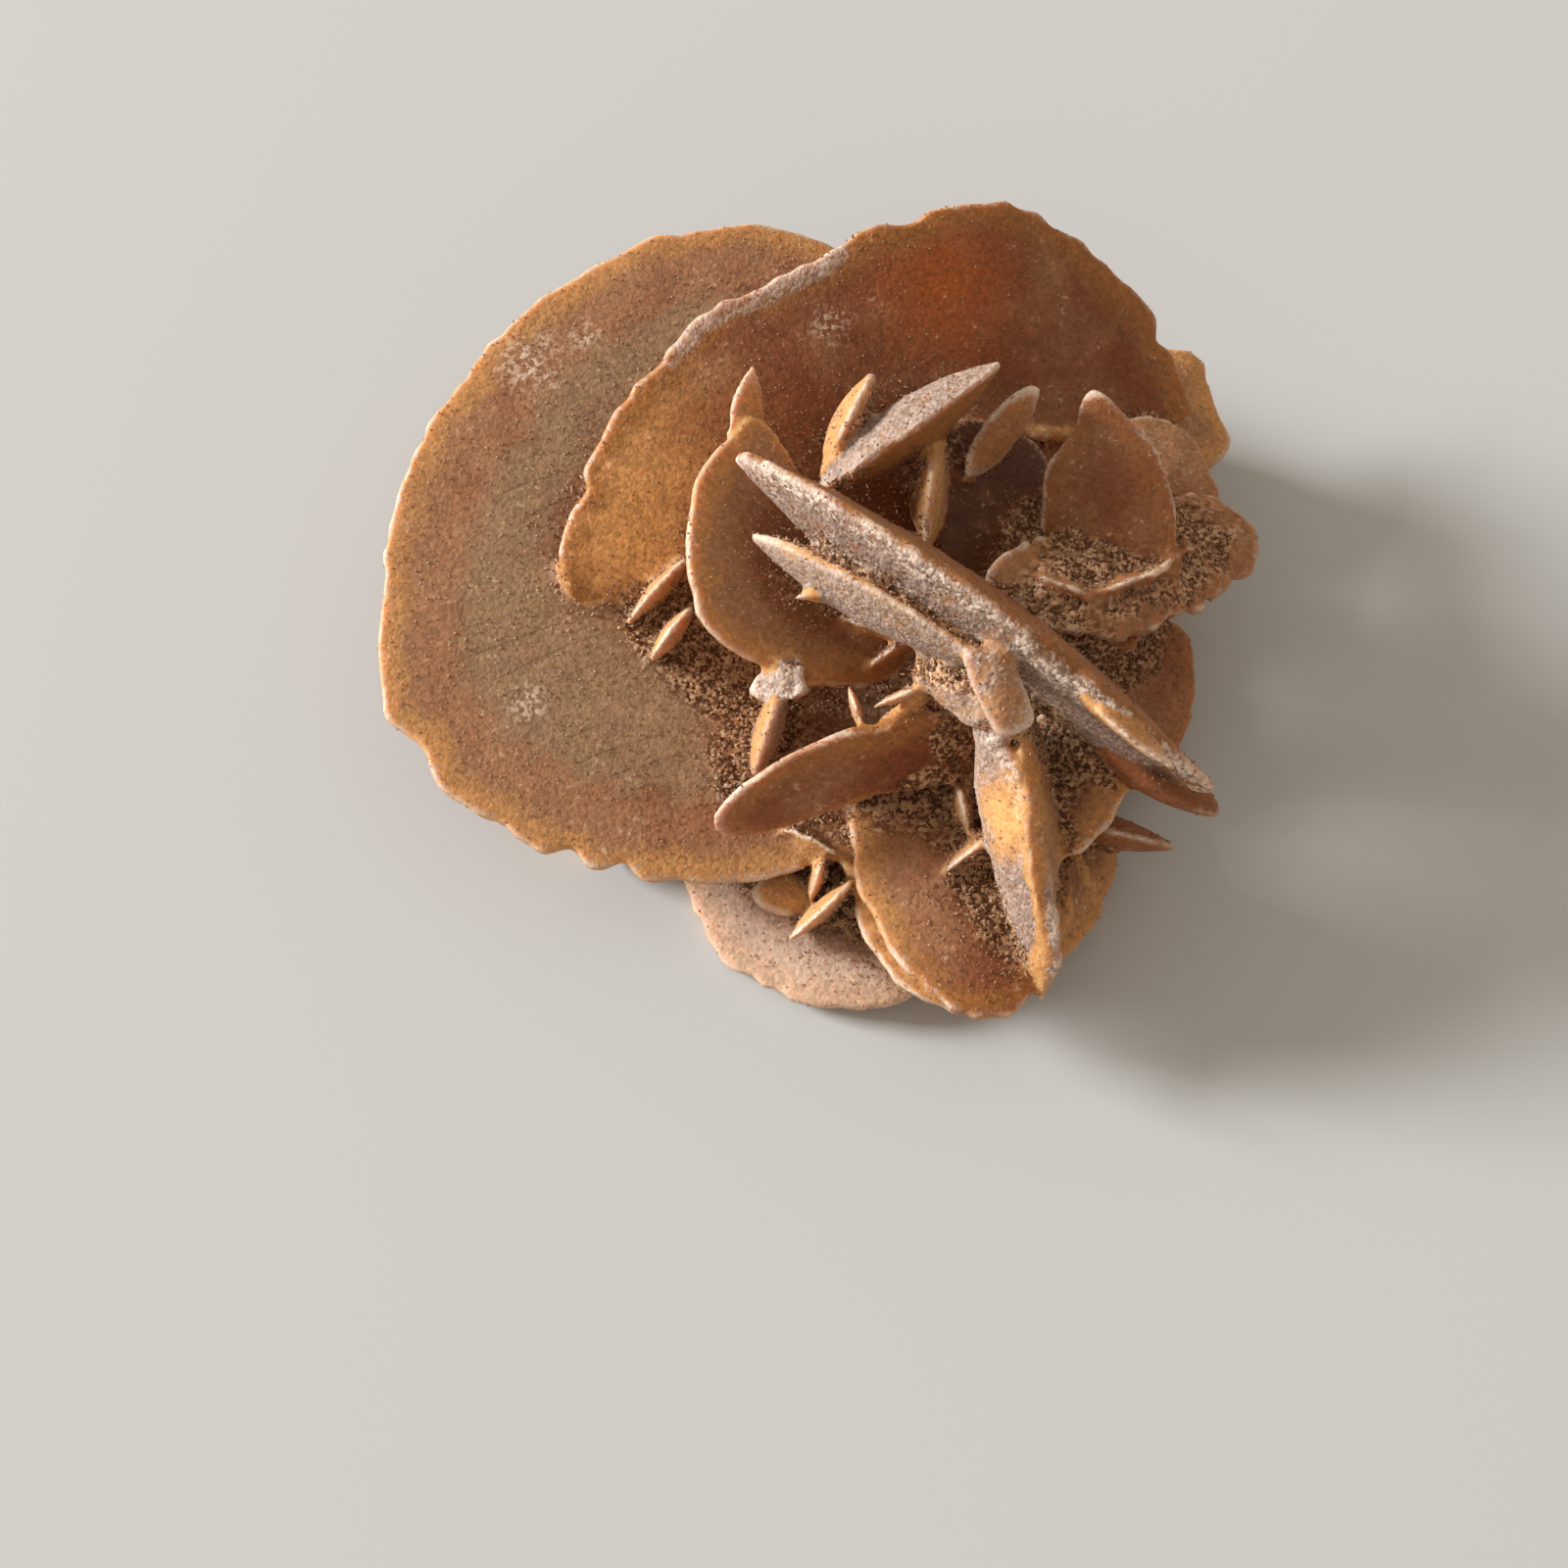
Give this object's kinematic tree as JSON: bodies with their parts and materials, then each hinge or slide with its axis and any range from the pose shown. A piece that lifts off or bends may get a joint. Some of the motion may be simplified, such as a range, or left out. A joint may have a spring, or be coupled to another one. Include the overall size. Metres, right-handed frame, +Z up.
{
  "type": "gypsum sand rose",
  "caption": "Desert rose mineral specimen: a cluster of lens-shaped gypsum plates and blades grown through each other as one solid, resting on its worn foot.",
  "frame": {"origin": "on the table plane, under the middle of the whole specimen's box", "axes": "+Z up from the table; +X along the specimen's longest extent, from the broad level plate towards the fan of small plates; +Y away from the low front plates"},
  "size_m": [0.09, 0.0872, 0.0396],
  "materials": {
    "gypsum": "sandy, satin, waxy at the thin plate edges"
  },
  "bodies": {
    "root": {"sand_rose": "gypsum"}
  },
  "joints": []
}
